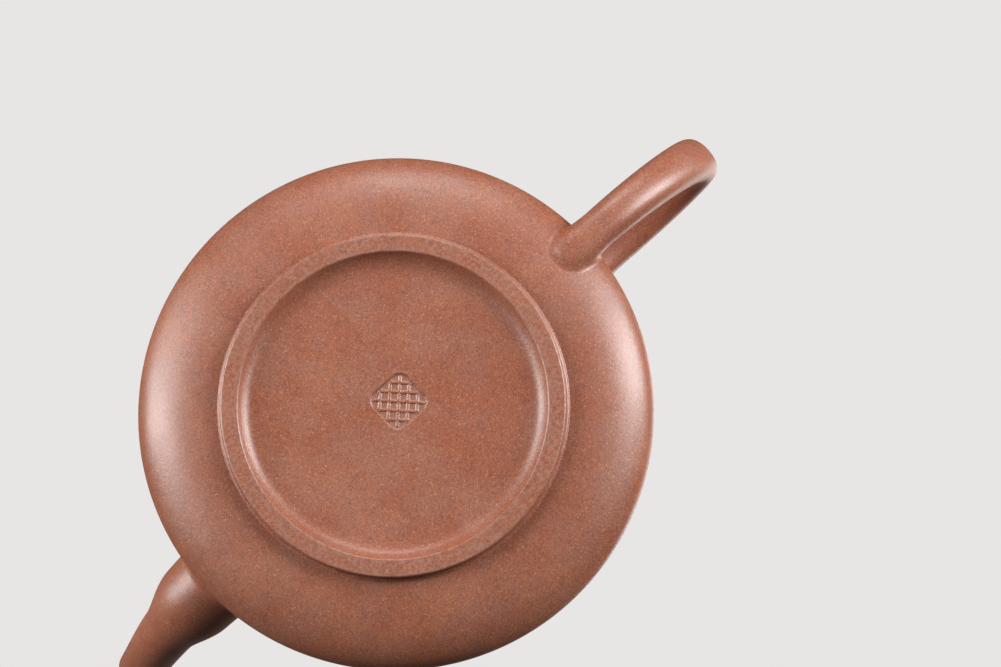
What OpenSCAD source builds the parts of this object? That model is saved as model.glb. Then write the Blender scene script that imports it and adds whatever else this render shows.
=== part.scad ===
// Hand-built stoneware teapot with a pressed lid: slab-built members, luted face to face.
// Millimetres. +Z is up, the origin is the centre of the foot ring on the table,
// +X points to the spout and -X to the handle.

/* [Body] */
// Greatest diameter of the body
body_d = 105.4; // [98:0.2:114]
// Height of the widest line of the body above the table
belly_h = 10.5; // [9:0.5:14]
// Height of the top of the mouth collar above the table
mouth_h = 47; // [44:0.5:52]
// Thickness of the body wall and of the top plate
wall_t = 3; // [2.4:0.1:3.4]
// Height at which the top plate is luted to the wall
top_joint_h = 39; // [37:0.5:40]
// How far the wall keeps its upright run above the widest line
wall_run = 13.5; // [10:0.5:16]
// How far the curve of the top plate runs out from the collar
shoulder_run = 14; // [10:0.5:17]
// Slope of the top plate where it meets the collar, in degrees
shoulder_slope = 40; // [32:1:46]

/* [Foot] */
// Outer diameter of the foot ring
foot_d = 69.8; // [64:0.2:74]
// Width of the flat ground face of the foot ring
foot_w = 3.4; // [2.6:0.1:4.4]
// Height of the foot ring, which is also the depth of the recess in the base
foot_h = 2.5; // [1.8:0.1:3.2]
// Width of the sloping inner lip of the foot ring
foot_lip = 1.5; // [0.8:0.1:2]
// Radius that breaks the outer edge of the foot ring
foot_edge = 0.4; // [0.2:0.1:0.8]
// Thickness of the base plate
base_t = 3; // [2.4:0.1:3.6]

/* [Stamp] */
// Side of the shallow square impression in the base
stamp_w = 8; // [6:0.2:10]
// Depth of the impression
stamp_depth = 0.4; // [0.2:0.1:0.8]
// Width of the raised lattice lines in the impression
stamp_line = 0.5; // [0.4:0.1:0.7]
// Distance between the lattice lines
stamp_pitch = 1.9; // [1.6:0.1:2.4]
// How far the impression sits off the centre, towards the handle
stamp_off = 1.4; // [0:0.1:4]

/* [Mouth] */
// Width of the mouth collar, from the mouth to its outer edge
collar_w = 4.2; // [3.2:0.1:5.4]
// Height of the mouth collar
collar_h = 3; // [2.2:0.1:3.6]
// Diameter of the mouth
mouth_d = 51; // [47:0.2:52.6]

/* [Spout] */
// Height of the middle of the spout's root on the wall
spout_root_h = 22.5; // [20:0.5:25]
// Height of the middle of the spout's mouth
spout_tip_h = 46.5; // [44:0.5:50]
// Distance from the axis to the middle of the spout's mouth
spout_reach = 75.5; // [72:0.5:80]
// Outer radius of the spout at its root
spout_root_r = 9; // [8.6:0.1:9.8]
// Outer radius of the spout's bulb, close to the wall
spout_bulb_r = 8.4; // [8:0.1:9]
// Outer radius of the spout half way up, where its narrow neck starts
spout_neck_r = 5.8; // [5.4:0.1:6.6]
// Outer radius at the mouth of the spout
spout_tip_r = 4.7; // [4.3:0.1:5.4]
// Wall thickness of the spout at its mouth
spout_lip_t = 1.9; // [1.5:0.1:2.1]
// Wall thickness of the spout at its root
spout_root_t = 2.6; // [2.2:0.1:3]

/* [Strainer] */
// Outer radius of the domed strainer
strainer_r = 8.8; // [8.2:0.1:9.6]
// Thickness of the strainer
strainer_t = 1.6; // [1.2:0.1:2]
// Diameter of each hole in the strainer
strainer_hole_d = 1.9; // [1.4:0.1:2.1]
// Angle between neighbouring rings of holes in the strainer, in degrees
strainer_hole_step = 24; // [20:1:26]
// Diameter of the hole through the wall behind the spout
wall_hole_d = 12.4; // [10:0.2:13]

/* [Handle] */
// Distance from the axis to the outside of the handle
handle_reach = 86.8; // [82:0.5:92]
// Height of the lower arm where it leaves the wall
handle_low_h = 8; // [7.5:0.1:9]
// Height of the upper arm where it leaves the top plate
handle_high_h = 38.5; // [37:0.5:40]
// Height of the outermost point of the handle
handle_mid_h = 28.5; // [26:0.5:31]
// Width of the lower arm at its root
handle_low_w = 7.4; // [6.6:0.1:8.6]
// Width of the handle at its bend
handle_mid_w = 10; // [8.8:0.1:11]
// Width of the upper arm at its root
handle_high_w = 7.8; // [7:0.1:9]
// Thickness of the handle
handle_t = 7.4; // [6.4:0.1:8]
// How much the handle swells at its two roots, on the radius
handle_flare = 1.3; // [0.6:0.1:1.8]

/* [Lid] */
// How far the lid plate, whose edge shows as the rim band, reaches out past the collar
lid_over = 0.3; // [0:0.1:1]
// Thickness of the lid plate
lid_plate_t = 3.1; // [2.6:0.1:3.6]
// How much narrower the rim band is at its lower edge, on the radius
lid_taper = 0.5; // [0.2:0.1:0.8]
// Rise of the lid's dome above the plate
dome_rise = 7.4; // [6:0.1:9]
// Thickness of the domed cap
dome_t = 2.6; // [2.2:0.1:3]
// How far the lid's skirt reaches down into the mouth
skirt_h = 14; // [10:0.5:16]
// Thickness of the lid's skirt
skirt_t = 2.6; // [2:0.1:3]
// How much the skirt narrows towards its lower edge, on the radius
skirt_taper = 0.5; // [0.2:0.1:0.8]
// Gap between the lid's skirt and the mouth, on the radius
mouth_clear = 0.4; // [0.3:0.05:0.6]
// Diameter of the air hole through the lid
vent_d = 2.6; // [2:0.1:3.2]

/* [Knob] */
// Outer length of the bridge knob where it meets the dome
knob_l = 32.2; // [30:0.2:35]
// Length of the gap under the bridge where it meets the dome
knob_gap_l = 21; // [19.6:0.2:22.6]
// Height of the bridge above the top of the dome
knob_h = 10.4; // [9.5:0.1:12]
// Thickness of the bridge at its crown
knob_t = 3.7; // [3.2:0.1:4.2]
// Width of the bridge across its crown
knob_w = 10; // [8:0.2:12]
// Width of the bridge across its legs
knob_leg_w = 13; // [11:0.2:15]
// How much the bridge swells at its two feet, on the radius
knob_flare = 1.2; // [0.4:0.1:1.6]

/* [Hidden] */
$fn = 96;

clay = "sienna";
clay_dark = "saddlebrown";
clay_pale = "peru";

body_r = body_d / 2;
foot_r = foot_d / 2;
mouth_r = mouth_d / 2;
collar_r = mouth_r + collar_w;
lid_r = collar_r + lid_over;
shoulder_h = mouth_h - collar_h;
skirt_r = mouth_r - mouth_clear;
// How far a cutting solid runs past what it cuts
past = 1;
// Length of a control arm that makes a quarter of an ellipse, as a share of its half axis
quarter = 0.5523;

// Steps along each curve of the body and the lid
curve_steps = 12;
// Steps along the handle, the spout and the knob, and sides round each
path_steps = 36;
sides = 24;

// ---------- curves ----------

function bezier(c, t) =
    pow(1 - t, 3) * c[0] + 3 * t * pow(1 - t, 2) * c[1] + 3 * t * t * (1 - t) * c[2] + pow(t, 3) * c[3];

function bezier_slope(c, t) =
    3 * pow(1 - t, 2) * (c[1] - c[0]) + 6 * t * (1 - t) * (c[2] - c[1]) + 3 * t * t * (c[3] - c[2]);

function unit(v) = v / norm(v);

// Points of a curve, moved to its left by an offset
function along(c, offset = 0, steps = curve_steps, start = 0, end = 1) = [
    for (i = [0:steps])
        let (t = start + (end - start) * i / steps, s = unit(bezier_slope(c, t)))
            bezier(c, t) + offset * [-s.y, s.x]
];

function mix(a, b, share) = a + (b - a) * share;

// 0 up to the low value and 1 from the high one, with soft ends
function ease(low, high, t) =
    let (x = max(0, min(1, (t - low) / (high - low))))
        x * x * (3 - 2 * x);

function backwards(list) = [for (i = [len(list) - 1:-1:0]) list[i]];

// The share of a rising curve at which it reaches a height, by halving
function share_at(c, h, low = 0, high = 1, left = 40) =
    left == 0 ? (low + high) / 2
    : bezier(c, (low + high) / 2).y < h ? share_at(c, h, (low + high) / 2, high, left - 1)
    : share_at(c, h, low, (low + high) / 2, left - 1);

// ---------- body profile, as radius and height ----------

// From the foot ring out to the widest line
lower_curve = [
    [foot_r, foot_h],
    [foot_r + quarter * (body_r - foot_r), foot_h],
    [body_r, belly_h - quarter * (belly_h - foot_h)],
    [body_r, belly_h]
];

// From the widest line up to the collar
upper_curve = [
    [body_r, belly_h],
    [body_r, belly_h + wall_run],
    [collar_r, shoulder_h] + shoulder_run * [cos(shoulder_slope), -sin(shoulder_slope)],
    [collar_r, shoulder_h]
];

joint_share = share_at(upper_curve, top_joint_h);

// Outside of the wall and of the top plate
wall_outside = concat(along(lower_curve), along(upper_curve, start = 1 / curve_steps, end = joint_share));
top_outside = along(upper_curve, start = joint_share);

module body_blank() {
    rotate_extrude()
        polygon(concat(
            [[0, foot_h]],
            wall_outside,
            [for (i = [1:curve_steps]) top_outside[i]],
            [[0, shoulder_h]]
        ));
}

// Inside of the wall, from the base plate up to the top plate
wall_inside = concat(
    along(lower_curve, wall_t, end = 1 - 1 / curve_steps),
    along(upper_curve, wall_t, end = joint_share)
);

module body_cavity() {
    rotate_extrude()
        polygon(concat(
            [[0, wall_inside[0].y]],
            wall_inside,
            [[0, wall_inside[len(wall_inside) - 1].y]]
        ));
}

// ---------- swept members ----------

// One closed ring: an ellipse across a path that lies in the XZ plane
function ring(centre, heading, half_w, half_t) = [
    for (i = [0:sides - 1])
        let (a = 360 * i / sides, side = half_w * cos(a), up = half_t * sin(a))
            [centre.x - heading.y * up, side, centre.y + heading.x * up]
];

// A solid through a list of rings
module loft(rings) {
    n = len(rings[0]);
    last = len(rings) - 1;
    polyhedron(
        points = [for (r = rings) each r],
        faces = concat(
            [[for (i = [0:n - 1]) i]],
            [for (k = [0:last - 1], i = [0:n - 1])
                [k * n + i, (k + 1) * n + i, (k + 1) * n + (i + 1) % n, k * n + (i + 1) % n]],
            [[for (i = [n - 1:-1:0]) last * n + i]]
        )
    );
}

// A tube through a list of rings that comes back to its first ring
module loop_loft(rings) {
    n = len(rings[0]);
    count = len(rings);
    polyhedron(
        points = [for (r = rings) each r],
        faces = [for (k = [0:count - 1], i = [0:n - 1])
            let (j = (k + 1) % count, m = (i + 1) % n)
                [k * n + i, j * n + i, j * n + m, k * n + m]]
    );
}

// ---------- body ----------

module base_plate() {
    color(clay)
        difference() {
            translate([0, 0, foot_h])
                cylinder(r = foot_r, h = base_t);
            translate([-stamp_off, 0, foot_h - past])
                stamp();
        }
}

// Lattice lines each side of the middle one
stamp_lines = 2;

// The lattice stands proud in the floor of the impression
module stamp() {
    linear_extrude(past + stamp_depth)
        difference() {
            square(stamp_w, center = true);
            rotate(45)
                for (k = [-stamp_lines:stamp_lines]) {
                    translate([k * stamp_pitch, 0])
                        square([stamp_line, 2 * stamp_w], center = true);
                    translate([0, k * stamp_pitch])
                        square([2 * stamp_w, stamp_line], center = true);
                }
        }
}

module foot_ring() {
    ground_in = foot_r - foot_w;
    color(clay_pale)
        rotate_extrude()
            polygon([
                [ground_in, 0],
                [foot_r - foot_edge, 0],
                [foot_r, foot_edge],
                [foot_r, foot_h],
                [ground_in - foot_lip, foot_h]
            ]);
}

module body_wall() {
    color(clay)
        difference() {
            rotate_extrude()
                polygon(concat(wall_outside, backwards(wall_inside)));
            spout_bore();
        }
}

module top_plate() {
    inner = along(upper_curve, wall_t, start = joint_share);
    color(clay)
        rotate_extrude()
            polygon(concat(
                top_outside,
                [[mouth_r, shoulder_h], [mouth_r, shoulder_h - wall_t]],
                backwards([for (p = inner) if (p.x > mouth_r && p.y < shoulder_h - wall_t) p])
            ));
}

module mouth_collar() {
    color(clay)
        rotate_extrude()
            polygon([
                [mouth_r, shoulder_h],
                [collar_r, shoulder_h],
                [collar_r, mouth_h],
                [mouth_r, mouth_h]
            ]);
}

// ---------- spout ----------

// The spout, its hole and the strainer are centred on the inside of the wall
spout_share = share_at(upper_curve, spout_root_h);
spout_root = along(upper_curve, wall_t, 1, spout_share)[0];
wall_slope = unit(bezier_slope(upper_curve, spout_share));
spout_tip = [spout_reach, spout_tip_h];
// How far further in the spout's path starts
spout_sink = [0.8, 0];
// Control arms of the spout's path, out from its root and down from its mouth
spout_out = [17.2, 2.7];
spout_down = [9, 15];
spout_curve = [spout_root - spout_sink, spout_root + spout_out, spout_tip - spout_down, spout_tip];
// Shares of the spout's path at which its bulb ends and its neck starts
spout_bulb_end = 0.22;
spout_neck_start = 0.5;
// The hole through the wall is cut this long, half of it each way
wall_hole_l = 6 * wall_t;

// The bulb, which runs over into the neck
function spout_r(t) = mix(
    mix(spout_root_r, spout_bulb_r, t / spout_bulb_end),
    mix(spout_neck_r, spout_tip_r, (t - spout_neck_start) / (1 - spout_neck_start)),
    ease(spout_bulb_end, spout_neck_start, t)
);

function spout_ring(t, r) = ring(bezier(spout_curve, t), unit(bezier_slope(spout_curve, t)), r, r);

// Places a child at the spout's root, with its Z axis square to the wall and pointing inwards
module at_spout_root() {
    translate([spout_root.x, 0, spout_root.y])
        rotate([0, atan2(-wall_slope.y, wall_slope.x), 0])
            children();
}

module spout_bore() {
    at_spout_root()
        cylinder(d = wall_hole_d, h = wall_hole_l, center = true);
}

module spout() {
    color(clay)
        difference() {
            loop_loft(concat(
                [for (i = [0:path_steps]) spout_ring(i / path_steps, spout_r(i / path_steps))],
                [for (i = [path_steps:-1:0])
                    let (t = i / path_steps)
                        spout_ring(t, spout_r(t) - mix(spout_root_t, spout_lip_t, t))]
            ));
            body_blank();
        }
}

// Directions of the strainer's holes: one in the middle and two rings round it
function strainer_holes() = [
    for (rank = [0:2], k = [0:max(0, 6 * rank - 1)])
        [360 * k / max(1, 6 * rank), strainer_hole_step * rank]
];

module strainer() {
    color(clay_dark)
        difference() {
            intersection() {
                at_spout_root()
                    difference() {
                        sphere(r = strainer_r);
                        sphere(r = strainer_r - strainer_t);
                    }
                body_cavity();
            }
            at_spout_root()
                for (hole = strainer_holes())
                    rotate([0, hole[1], hole[0]])
                        translate([0, 0, strainer_r - strainer_t - past])
                            cylinder(d = strainer_hole_d, h = strainer_t + 2 * past);
        }
}

// ---------- handle ----------

handle_bend = [handle_reach - handle_t / 2, handle_mid_h];
handle_low = [body_r, handle_low_h];
handle_high = [collar_r, handle_high_h];
// How far inside the wall the lower arm's path starts, and its control arm
handle_low_sink = [-10.2, 2];
handle_low_out = [7.3, -7.5];
// Control arms of the bend, down and up from its outermost point
handle_bend_down = 13;
handle_bend_up = 15;
// Control arm of the upper arm and the end of its path inside the body
handle_high_out = [30.7, 10.5];
handle_high_sink = [4.3, -1.5];
// Share of each arm over which the swelling of its root dies away
handle_flare_run = 0.16;
// Shares of the lower and the upper arm's paths that lie inside the body
handle_low_hidden = 0.1;
handle_high_hidden = 0.2;
// How late the lower and the upper arm widen towards the bend
handle_low_power = 1;
handle_high_power = 2;
// Shares of the swelling that also thicken the lower and the upper arm
handle_low_swell = 1;
handle_high_swell = 0.4;

// Each arm is drawn from its root to the bend
handle_lower = [
    handle_low + handle_low_sink,
    handle_low + handle_low_out,
    handle_bend - [0, handle_bend_down],
    handle_bend
];
handle_upper = [
    handle_high + handle_high_sink,
    handle_high + handle_high_out,
    handle_bend + [0, handle_bend_up],
    handle_bend
];
arm_steps = path_steps / 2;

// Rings of one arm, from its width at the root and the share of its path that the body hides
function arm_rings(c, root_w, hidden, power, thicken) = [
    for (i = [0:arm_steps])
        let (
            t = i / arm_steps,
            swell = handle_flare * pow(max(0, 1 - max(0, t - hidden) / handle_flare_run), 2),
            half_w = mix(root_w, handle_mid_w, pow(t, power)) / 2 + swell
        )
            ring(bezier(c, t), unit(bezier_slope(c, t)), half_w, handle_t / 2 + thicken * swell)
];

// The same ring seen from the other arm, whose path runs the other way
function turned(r) = [for (i = [0:sides - 1]) r[(sides - i) % sides]];

module handle() {
    lower = arm_rings(handle_lower, handle_low_w, handle_low_hidden, handle_low_power, handle_low_swell);
    upper = arm_rings(handle_upper, handle_high_w, handle_high_hidden, handle_high_power, handle_high_swell);
    color(clay)
        difference() {
            mirror([1, 0, 0])
                loft(concat(lower, [for (i = [arm_steps - 1:-1:0]) turned(upper[i])]));
            body_blank();
        }
}

// ---------- lid ----------

plate_top = mouth_h + lid_plate_t;
dome_top = plate_top + dome_rise;
// Control arms of the dome: out and up at the rim, and out from the middle as a share of its radius
dome_bulge = 0.3;
dome_lift = 0.47;
dome_flat = 0.72;
dome_curve = [
    [lid_r, plate_top],
    [lid_r + dome_bulge, plate_top + dome_lift * dome_rise],
    [dome_flat * lid_r, dome_top],
    [0, dome_top]
];

module dome_blank() {
    rotate_extrude()
        polygon(concat([[0, plate_top]], along(dome_curve)));
}

module vent() {
    cylinder(d = vent_d, h = dome_top + past);
}

module lid_plate() {
    color(clay)
        difference() {
            translate([0, 0, mouth_h])
                cylinder(r1 = lid_r - lid_taper, r2 = lid_r, h = lid_plate_t);
            vent();
        }
}

module lid_cap() {
    color(clay)
        difference() {
            dome_blank();
            translate([0, 0, -dome_t])
                intersection() {
                    dome_blank();
                    translate([0, 0, plate_top + dome_t])
                        cylinder(r = lid_r - 2 * dome_t, h = dome_rise);
                }
            vent();
        }
}

module lid_skirt() {
    color(clay)
        rotate_extrude()
            polygon([
                [skirt_r - skirt_t, mouth_h],
                [skirt_r - skirt_t, mouth_h - skirt_h],
                [skirt_r - skirt_taper, mouth_h - skirt_h],
                [skirt_r, mouth_h]
            ]);
}

// ---------- knob ----------

knob_high = dome_top + knob_h - knob_t / 2;
knob_foot = (knob_l + knob_gap_l) / 4;
knob_leg_t = (knob_l - knob_gap_l) / 2;
// Where the path of a leg ends inside the dome, and its control arm up from there
knob_sink = [1.4, -3];
knob_leg_arm = [-4.8, 8.8];
// Control arm of the crown, as a share of the leg's distance from the middle
knob_crown = 0.39;
// Share of each half over which the swelling of its foot grows
knob_flare_run = 0.25;
knob_half = [
    [0, knob_high],
    [knob_crown * knob_foot, knob_high],
    [knob_foot, dome_top] + knob_sink + knob_leg_arm,
    [knob_foot, dome_top] + knob_sink
];

// A ring of the right half, from the crown at 0 to the foot at 1
function knob_ring(u) =
    let (
        swell = knob_flare * pow(max(0, 1 - (1 - u) / knob_flare_run), 2),
        half_w = mix(knob_w, knob_leg_w, u * u) / 2 + swell,
        half_t = mix(knob_t, knob_leg_t, pow(u, 4)) / 2 + swell
    )
        ring(bezier(knob_half, u), unit(bezier_slope(knob_half, u)), half_w, half_t);

// The same ring on the left half
function mirrored(r) = [for (p = r) [-p.x, p.y, p.z]];

module knob() {
    color(clay)
        difference() {
            loft(concat(
                [for (i = [arm_steps:-1:1]) mirrored(knob_ring(i / arm_steps))],
                [for (i = [0:arm_steps]) knob_ring(i / arm_steps)]
            ));
            dome_blank();
        }
}

base_plate();
foot_ring();
body_wall();
top_plate();
mouth_collar();
strainer();
spout();
handle();
lid_plate();
lid_cap();
lid_skirt();
knob();
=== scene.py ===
import math

import bmesh
import bpy
import numpy as np
from mathutils import Euler, Matrix, Vector


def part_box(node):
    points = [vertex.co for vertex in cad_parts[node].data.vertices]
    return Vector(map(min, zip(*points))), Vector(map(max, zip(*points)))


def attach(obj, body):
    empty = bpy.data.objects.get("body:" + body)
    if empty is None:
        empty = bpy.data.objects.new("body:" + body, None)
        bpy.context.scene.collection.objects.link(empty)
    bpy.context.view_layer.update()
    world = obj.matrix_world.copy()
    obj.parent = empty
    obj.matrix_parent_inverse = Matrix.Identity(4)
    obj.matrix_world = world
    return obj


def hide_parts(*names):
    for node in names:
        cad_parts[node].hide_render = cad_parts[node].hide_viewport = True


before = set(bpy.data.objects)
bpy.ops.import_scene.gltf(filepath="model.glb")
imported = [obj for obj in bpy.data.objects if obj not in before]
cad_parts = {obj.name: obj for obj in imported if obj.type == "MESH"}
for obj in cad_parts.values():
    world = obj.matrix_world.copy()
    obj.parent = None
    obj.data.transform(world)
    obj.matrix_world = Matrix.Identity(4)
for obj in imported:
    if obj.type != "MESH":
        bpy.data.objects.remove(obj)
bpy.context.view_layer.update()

bl_info = {
    "name": "Clay teapot",
    "version": (1, 0, 0),
    "blender": (4, 5, 0),
    "location": "View3D > Sidebar > Teapot",
    "description": "Dresses the solids of a slab-built clay teapot as smooth, luted, fired members",
    "category": "Object",
}

MM = 0.001
# Segments round every turned member
TURN = 256
# Length of a control arm that makes a quarter of an ellipse, as a share of its half axis
QUARTER = 0.5523
# Points closer together than this are one
WELD = 0.01 * MM
# A point closer to the axis than this is on it
ON_AXIS = 1e-7


# ---------- sizes that the solids give ----------

FOOT_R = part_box("foot_ring")[1].x
FOOT_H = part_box("foot_ring")[1].z
FLOOR_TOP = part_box("base_plate")[1].z
BODY_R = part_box("body_wall")[1].x
SHOULDER_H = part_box("mouth_collar")[0].z
MOUTH_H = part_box("mouth_collar")[1].z
COLLAR_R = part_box("mouth_collar")[1].x
LID_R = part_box("lid_plate")[1].x
PLATE_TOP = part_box("lid_plate")[1].z
DOME_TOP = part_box("lid_cap")[1].z
SKIRT_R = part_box("lid_skirt")[1].x
SKIRT_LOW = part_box("lid_skirt")[0].z
KNOB_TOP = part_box("knob")[1].z
HANDLE_OUT = -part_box("handle")[0].x


def length(name, words, value):
    """A length property whose default is given in metres."""
    return bpy.props.FloatProperty(name=name, description=words, default=value, min=0, unit="LENGTH")


def angle(name, words, degrees):
    """An angle property whose default is given in degrees."""
    return bpy.props.FloatProperty(
        name=name, description=words, default=math.radians(degrees), subtype="ANGLE"
    )


def number(name, words, value, low=0, high=100):
    """A plain number between two limits."""
    return bpy.props.FloatProperty(name=name, description=words, default=value, min=low, max=high)


def colour(name, words, value):
    """A colour property."""
    return bpy.props.FloatVectorProperty(
        name=name, description=words, default=(*value, 1), size=4, min=0, max=1, subtype="COLOR"
    )


class PotSizes(bpy.types.PropertyGroup):
    """Sizes of the pot's own members."""

    belly_h: length("Belly height", "Height of the widest line of the body", 10.5 * MM)
    wall_t: length("Wall", "Thickness of the body wall and of the top plate", 3 * MM)
    wall_run: length("Wall run", "How far the wall keeps its upright run above the belly", 13.5 * MM)
    shoulder_run: length("Shoulder run", "How far the top plate's curve runs out from the collar", 14 * MM)
    shoulder_slope: angle("Shoulder slope", "Slope of the top plate where it meets the collar", 40)
    mouth_r: length("Mouth radius", "Radius of the mouth", 25.5 * MM)
    foot_w: length("Foot width", "Width of the ground face of the foot ring", 3.4 * MM)
    foot_lip: length("Foot lip", "Width of the sloping inner lip of the foot ring", 1.5 * MM)
    foot_lute: length("Foot joint", "Radius of the clay smoothed round the foot ring", 0.8 * MM)
    foot_cove: length("Foot cove", "How far the inside of the foot ring runs out over the base", 2.6 * MM)
    edge: length("Edge", "Radius that breaks the edges of collar and lid", 0.5 * MM)


class SealSizes(bpy.types.PropertyGroup):
    """Sizes of the square impression in the base."""

    side: length("Side", "Side of the impression", 9.4 * MM)
    corner: length("Corner", "Corner radius of the impression", 2.3 * MM)
    depth: length("Depth", "Depth of the impression", 0.32 * MM)
    line: length("Line", "Width of the lattice lines", 0.5 * MM)
    pitch: length("Pitch", "Distance between the lattice lines", 1.9 * MM)
    off: length("Offset", "How far the impression sits off the middle, towards the handle", 1.4 * MM)


class SpoutSizes(bpy.types.PropertyGroup):
    """Sizes of the spout and its strainer."""

    root_h: length("Root height", "Height of the middle of the spout's root", 22.5 * MM)
    tip_h: length("Mouth height", "Height of the middle of the spout's mouth", 46.5 * MM)
    reach: length("Reach", "Distance from the axis to the middle of the spout's mouth", 75.5 * MM)
    root_r: length("Root radius", "Outer radius at the root", 9 * MM)
    bulb_r: length("Bulb radius", "Outer radius of the bulb close to the wall", 8.4 * MM)
    neck_r: length("Neck radius", "Outer radius half way up, where the neck starts", 5.8 * MM)
    tip_r: length("Mouth radius", "Outer radius at the mouth", 4.7 * MM)
    lip_t: length("Lip", "Wall thickness at the mouth", 1.9 * MM)
    root_t: length("Root wall", "Wall thickness at the root", 2.6 * MM)
    lute: length("Joint", "Radius of the clay smoothed round the root", 1.6 * MM)
    wall_hole_d: length("Wall hole", "Diameter of the hole through the wall", 12.4 * MM)
    strainer_r: length("Strainer radius", "Outer radius of the domed strainer", 8.8 * MM)
    strainer_t: length("Strainer wall", "Thickness of the strainer", 1.6 * MM)
    strainer_hole_d: length("Strainer hole", "Diameter of each hole in the strainer", 1.9 * MM)
    strainer_step: angle("Hole step", "Angle between neighbouring rings of holes", 24)


class HandleSizes(bpy.types.PropertyGroup):
    """Sizes of the loop handle."""

    mid_h: length("Bend height", "Height of the outermost point", 28.5 * MM)
    low_h: length("Lower root", "Height at which the lower arm leaves the wall", 8 * MM)
    high_h: length("Upper root", "Height at which the upper arm leaves the top plate", 38.5 * MM)
    low_w: length("Lower width", "Width of the lower arm at its root", 7.4 * MM)
    mid_w: length("Bend width", "Width at the bend", 10 * MM)
    high_w: length("Upper width", "Width of the upper arm at its root", 7.8 * MM)
    waist: length("Waist", "How much narrower the upper arm is half way", 0.2 * MM)
    thick: length("Thickness", "Thickness of the handle", 7.4 * MM)
    flare: length("Swelling", "How much the handle swells at its roots, on the radius", 1.3 * MM)
    low_lute: length("Lower joint", "Radius of the clay smoothed round the lower root", 0.9 * MM)
    high_lute: length("Upper joint", "Radius of the clay smoothed round the upper root", 2.4 * MM)


class LidSizes(bpy.types.PropertyGroup):
    """Sizes of the lid and its bridge knob."""

    taper: length("Band taper", "How much narrower the rim band is at its lower edge", 0.5 * MM)
    groove: length("Groove", "Depth of the line between the dome and the rim band", 0.3 * MM)
    vent_d: length("Air hole", "Diameter of the air hole", 2.6 * MM)
    skirt_t: length("Skirt", "Thickness of the skirt", 2.6 * MM)
    skirt_taper: length("Skirt taper", "How much the skirt narrows towards its lower edge", 0.5 * MM)
    knob_l: length("Knob length", "Outer length of the bridge where it meets the dome", 32.2 * MM)
    knob_gap: length("Knob gap", "Length of the gap under the bridge at the dome", 21 * MM)
    knob_t: length("Knob thickness", "Thickness of the bridge at its crown", 3.7 * MM)
    knob_w: length("Knob width", "Width of the bridge across its crown", 10 * MM)
    knob_leg_w: length("Knob leg width", "Width of the bridge across its legs", 13 * MM)
    lute: length("Joint", "Radius of the clay smoothed round the knob's feet", 2.2 * MM)


class ClayLook(bpy.types.PropertyGroup):
    """Colours and finish of the fired clay."""

    clay: colour("Clay", "The usual colour of the fired clay", (0.35, 0.102, 0.049))
    warm: colour("Warm clay", "Warmer clouds in the clay", (0.39, 0.12, 0.054))
    dark: colour("Dark clay", "Darker clouds in the clay", (0.27, 0.08, 0.043))
    tan: colour("Tan grain", "Pale grains in the clay", (0.64, 0.29, 0.15))
    soot: colour("Dark grain", "Dark grains in the clay", (0.13, 0.05, 0.035))
    iron: colour("Iron", "Iron specks", (0.035, 0.02, 0.018))
    film: colour("Film", "Greyer film that the fire leaves on the skin", (0.33, 0.14, 0.102))
    # Also paints the sheen in the base's impression and the highlight along turned edges
    worn_and_sheen: colour("Worn clay", "Ground and handled clay", (0.4, 0.22, 0.165))
    # Painted as upright streaks of sheen on the skirt
    skirt_sheen: colour("Plum clay", "Grey and purple clay of the lid's skirt", (0.24, 0.115, 0.1))
    roughness: number("Roughness", "Roughness of the burnished skin", 0.42, high=1)
    ior: number("IOR", "How strongly the burnished skin shines", 1.75, low=1, high=3)


class StageLook(bpy.types.PropertyGroup):
    """The floor, the background and the lamps."""

    floor: colour("Floor", "Colour of the floor", (0.8, 0.79, 0.78))
    back: colour("Background", "Colour of the background", (0.8, 0.79, 0.78))
    glow: number("Glow", "How much of the background colour the floor shows", 0.3)
    ambient: number("Ambient", "Light that comes from everywhere", 0.045)
    mirrored: number("Mirrored", "Share of the background that the sheen shows", 0.15)
    level: number("Lamps", "Strength of the lamps", 1)


# ---------- curves ----------


def bezier(c, t):
    """A point, or an array of points, of a cubic curve."""
    t = np.asarray(t, float)[..., None]
    c = np.asarray(c, float)
    return (1 - t) ** 3 * c[0] + 3 * t * (1 - t) ** 2 * c[1] + 3 * t * t * (1 - t) * c[2] + t**3 * c[3]


def bezier_slope(c, t):
    """The unit direction of a cubic curve."""
    t = np.asarray(t, float)[..., None]
    c = np.asarray(c, float)
    d = (1 - t) ** 2 * (c[1] - c[0]) + 2 * t * (1 - t) * (c[2] - c[1]) + t * t * (c[3] - c[2])
    return d / np.linalg.norm(d, axis=-1, keepdims=True)


def mix(a, b, share):
    """The value part of the way from a to b."""
    return a + (b - a) * share


def ease(low, high, value):
    """0 at low, 1 at high, with soft ends."""
    share = np.clip((value - low) / (high - low), 0, 1)
    return share * share * (3 - 2 * share)


def lower_curve():
    """From the foot ring out to the widest line, as radius and height."""
    belly = bpy.context.scene.pot.belly_h
    return [
        (FOOT_R, FOOT_H),
        (mix(FOOT_R, BODY_R, QUARTER), FOOT_H),
        (BODY_R, mix(belly, FOOT_H, QUARTER)),
        (BODY_R, belly),
    ]


def upper_curve():
    """From the widest line up to the collar."""
    pot = bpy.context.scene.pot
    return [
        (BODY_R, pot.belly_h),
        (BODY_R, pot.belly_h + pot.wall_run),
        (
            COLLAR_R + pot.shoulder_run * math.cos(pot.shoulder_slope),
            SHOULDER_H - pot.shoulder_run * math.sin(pot.shoulder_slope),
        ),
        (COLLAR_R, SHOULDER_H),
    ]


# The dome's flank: how far it swells past the rim band, and the share of the rise that it keeps upright
DOME_SWELL = 0.3 * MM
DOME_FLANK = 0.47
# How far the dome's flat top reaches, as a share of its radius
DOME_FLAT = 0.72


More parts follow.
